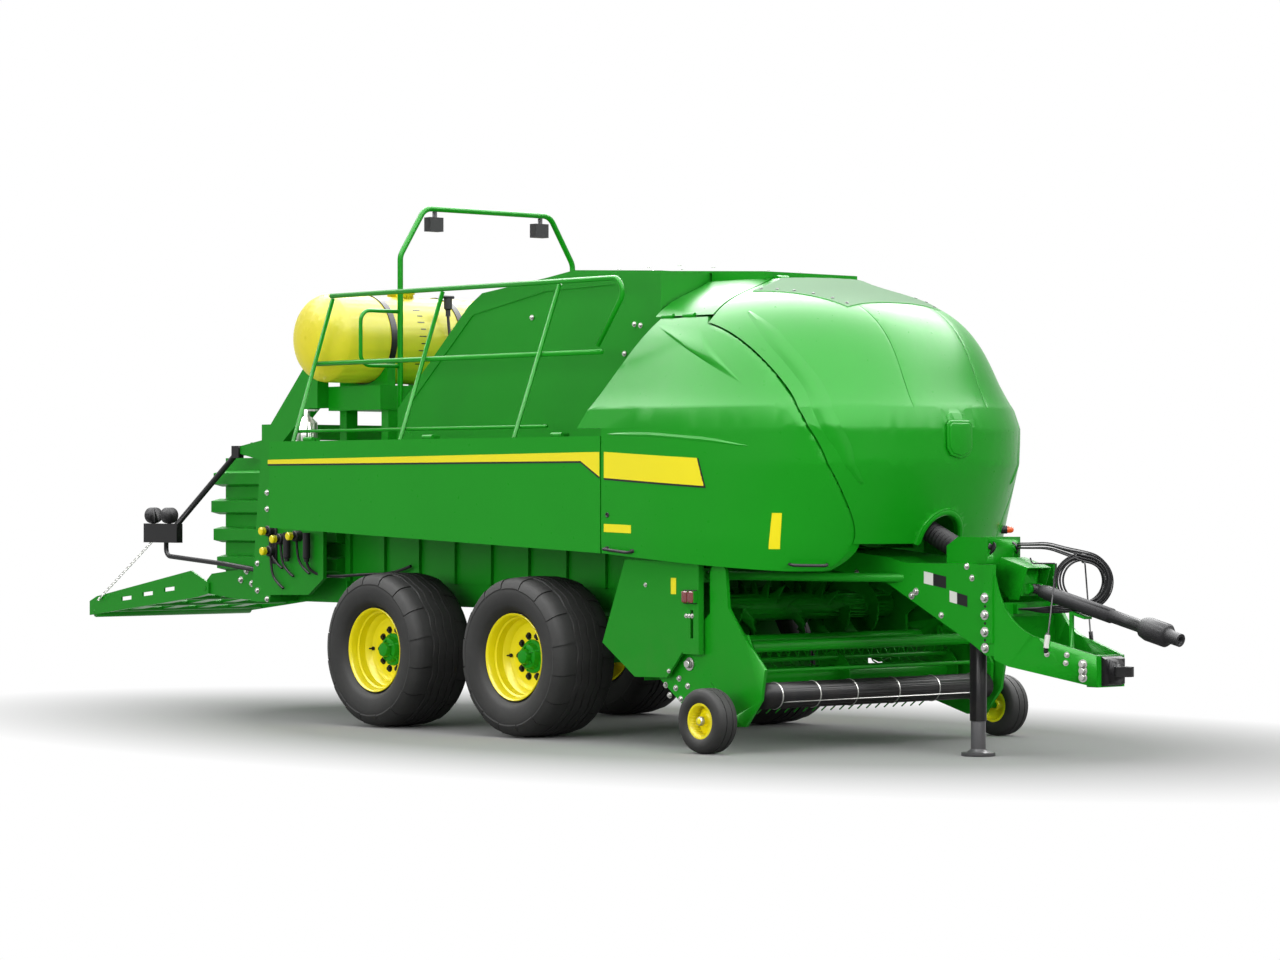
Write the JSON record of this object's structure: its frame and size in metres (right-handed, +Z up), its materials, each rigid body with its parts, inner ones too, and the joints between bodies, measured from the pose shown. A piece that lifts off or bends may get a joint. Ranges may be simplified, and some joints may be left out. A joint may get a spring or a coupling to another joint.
{
  "type": "large square baler",
  "caption": "Towed large square baler on steered tandem wheels, with a wide pickup, round hood, lifting side doors, roof walkway with rails and tank, folding bale chute and parking jack.",
  "frame": {"origin": "middle of the machine's overall box, on the ground", "axes": "+X forwards to the tractor, +Y to the machine's left, +Z up"},
  "size_m": [10.4496, 2.819, 3.6539],
  "materials": {
    "black": "satin",
    "black_plastic": "matte",
    "dark_green": "satin",
    "green": "gloss",
    "grey_paint": "satin",
    "tank_yellow": "gloss",
    "tyre": "matte",
    "yellow": "gloss",
    "zinc": "galvanised"
  },
  "bodies": {
    "chassis": {"axle_front": "dark_green", "axle_rear": "dark_green", "bale_chamber": "dark_green", "chassis_frame": "dark_green", "density_flaps": "dark_green", "drawbar_beam": "green", "extinguisher": "zinc", "feeder_frame": "dark_green", "front_frame": "dark_green", "front_gearbox": "green", "handrails": "green", "hitch_arms": "green", "hitch_eye": "black", "hose_hooks": "black", "hydraulic_hoses": "black", "jack_tube": "black", "lamp_arms": "black", "lamp_hoop": "green", "leaf_springs": "dark_green", "main_gearbox": "dark_green", "platform": "dark_green", "rail_posts": "green", "rear_portal": "dark_green", "roof": "green", "tank": "tank_yellow", "tank_cradle": "green", "tank_straps": "black", "upper_cover": "dark_green", "work_lamps": "black_plastic"},
    "wheel_front_right": {"tyre_front_right": "tyre", "wheel_front_right": "yellow"},
    "wheel_front_left": {"tyre_front_left": "tyre", "wheel_front_left": "yellow"},
    "wheel_rear_right": {"tyre_rear_right": "tyre", "wheel_rear_right": "yellow"},
    "wheel_rear_left": {"tyre_rear_left": "tyre", "wheel_rear_left": "yellow"},
    "steering_knuckle_right": {"knuckle_right": "dark_green"},
    "steering_knuckle_left": {"knuckle_left": "dark_green"},
    "tie_rod": {"tie_rod": "dark_green"},
    "hood": {"hood": "green"},
    "wing_door_right": {"wing_door_right": "green"},
    "wing_door_left": {"wing_door_left": "green"},
    "side_door_right": {"side_door_right": "green"},
    "side_door_left": {"side_door_left": "green"},
    "feed_rotor": {"feed_rotor": "dark_green"},
    "pickup": {"pickup_frame": "green"},
    "pickup_reel": {"pickup_reel": "green"},
    "crop_guard": {"crop_guard": "green"},
    "guard_roller": {"guard_roller": "black"},
    "gauge_wheel_right": {"gauge_tyre_right": "tyre", "gauge_wheel_right": "yellow"},
    "gauge_wheel_left": {"gauge_tyre_left": "tyre", "gauge_wheel_left": "yellow"},
    "drive_shaft": {"drive_shaft": "black_plastic"},
    "jack_leg": {"jack_leg": "grey_paint"},
    "chute": {"chute_frame": "green"},
    "chute_roller": {"chute_roller": "green"},
    "chute_chain_right": {"chute_chain_right": "zinc"},
    "chute_chain_left": {"chute_chain_left": "zinc"}
  },
  "joints": [
    {"name": "steer_right", "type": "hinge", "parent": "chassis", "child": "steering_knuckle_right", "pos_m": [-0.92677, -0.72, 0.533], "axis": [0, 0, 1], "range_deg": [-10, 10]},
    {"name": "spin_front_right", "type": "hinge", "parent": "chassis", "child": "wheel_front_right", "pos_m": [0.57523, -1.051, 0.533], "axis": [0, 1, 0], "continuous": true},
    {"name": "spin_rear_right", "type": "hinge", "parent": "steering_knuckle_right", "child": "wheel_rear_right", "pos_m": [-0.92677, -1.051, 0.533], "axis": [0, 1, 0], "continuous": true},
    {"name": "spin_gauge_right", "type": "hinge", "parent": "pickup", "child": "gauge_wheel_right", "pos_m": [2.53523, -1.327, 0.203], "axis": [0, 1, 0], "continuous": true},
    {"name": "wing_right_lift", "type": "hinge", "parent": "chassis", "child": "wing_door_right", "pos_m": [1.87523, -0.912, 2.753], "axis": [-1, 0, 0], "range_deg": [0, 45]},
    {"name": "side_door_right_lift", "type": "hinge", "parent": "chassis", "child": "side_door_right", "pos_m": [-0.32477, -1.265, 1.996], "axis": [-1, 0, 0], "range_deg": [0, 75]},
    {"name": "chain_right_swing", "type": "hinge", "parent": "chassis", "child": "chute_chain_right", "pos_m": [-4.27477, -0.785, 1.265], "axis": [0, -1, 0], "range_deg": [0, 58]},
    {"name": "steer_left", "type": "hinge", "parent": "chassis", "child": "steering_knuckle_left", "pos_m": [-0.92677, 0.72, 0.533], "axis": [0, 0, 1], "range_deg": [-10, 10]},
    {"name": "spin_front_left", "type": "hinge", "parent": "chassis", "child": "wheel_front_left", "pos_m": [0.57523, 1.051, 0.533], "axis": [0, 1, 0], "continuous": true},
    {"name": "spin_rear_left", "type": "hinge", "parent": "steering_knuckle_left", "child": "wheel_rear_left", "pos_m": [-0.92677, 1.051, 0.533], "axis": [0, 1, 0], "continuous": true},
    {"name": "spin_gauge_left", "type": "hinge", "parent": "pickup", "child": "gauge_wheel_left", "pos_m": [2.53523, 1.327, 0.203], "axis": [0, 1, 0], "continuous": true},
    {"name": "wing_left_lift", "type": "hinge", "parent": "chassis", "child": "wing_door_left", "pos_m": [1.87523, 0.912, 2.753], "axis": [1, 0, 0], "range_deg": [0, 45]},
    {"name": "side_door_left_lift", "type": "hinge", "parent": "chassis", "child": "side_door_left", "pos_m": [-0.32477, 1.265, 1.996], "axis": [1, 0, 0], "range_deg": [0, 75]},
    {"name": "chain_left_swing", "type": "hinge", "parent": "chassis", "child": "chute_chain_left", "pos_m": [-4.27477, 0.785, 1.265], "axis": [0, -1, 0], "range_deg": [0, 58]},
    {"name": "tie_rod_follow", "type": "hinge", "parent": "steering_knuckle_right", "child": "tie_rod", "pos_m": [-1.15677, -0.72, 0.533], "axis": [0, 0, 1], "range_deg": [-10, 10]},
    {"name": "hood_lift", "type": "hinge", "parent": "chassis", "child": "hood", "pos_m": [2.13223, 0, 3.008], "axis": [0, -1, 0], "range_deg": [0, 45]},
    {"name": "feed_rotor_spin", "type": "hinge", "parent": "chassis", "child": "feed_rotor", "pos_m": [1.76523, 0, 0.87], "axis": [0, 1, 0], "continuous": true},
    {"name": "pickup_lift", "type": "hinge", "parent": "chassis", "child": "pickup", "pos_m": [1.72523, 0, 0.64], "axis": [0, -1, 0], "range_deg": [0, 15]},
    {"name": "pickup_reel_spin", "type": "hinge", "parent": "pickup", "child": "pickup_reel", "pos_m": [2.30523, 0, 0.44], "axis": [0, 1, 0], "continuous": true},
    {"name": "crop_guard_float", "type": "hinge", "parent": "pickup", "child": "crop_guard", "pos_m": [2.27523, 0, 0.7], "axis": [0, -1, 0], "range_deg": [0, 20]},
    {"name": "guard_roller_spin", "type": "hinge", "parent": "crop_guard", "child": "guard_roller", "pos_m": [2.68523, 0, 0.35], "axis": [0, 1, 0], "continuous": true},
    {"name": "drive_shaft_lift", "type": "hinge", "parent": "chassis", "child": "drive_shaft", "pos_m": [4.05523, 0, 1.03], "axis": [0, -1, 0], "range_deg": [0, 15]},
    {"name": "jack_slide", "type": "slide", "parent": "chassis", "child": "jack_leg", "axis": [0, 0, 1], "range_m": [0, 0.161]},
    {"name": "chute_fold", "type": "hinge", "parent": "chassis", "child": "chute", "pos_m": [-3.66477, 0, 0.9], "axis": [0, 1, 0], "range_deg": [0, 88]},
    {"name": "chute_roller_spin", "type": "hinge", "parent": "chute", "child": "chute_roller", "pos_m": [-5.16477, 0, 0.69], "axis": [0, 1, 0], "continuous": true}
  ],
  "couplings": [
    {"joint": "steer_right", "follows": "steer_left", "ratio": 1},
    {"joint": "tie_rod_follow", "follows": "steer_left", "ratio": -1},
    {"joint": "chain_right_swing", "follows": "chute_fold", "ratio": 0.64},
    {"joint": "chain_left_swing", "follows": "chute_fold", "ratio": 0.64}
  ]
}
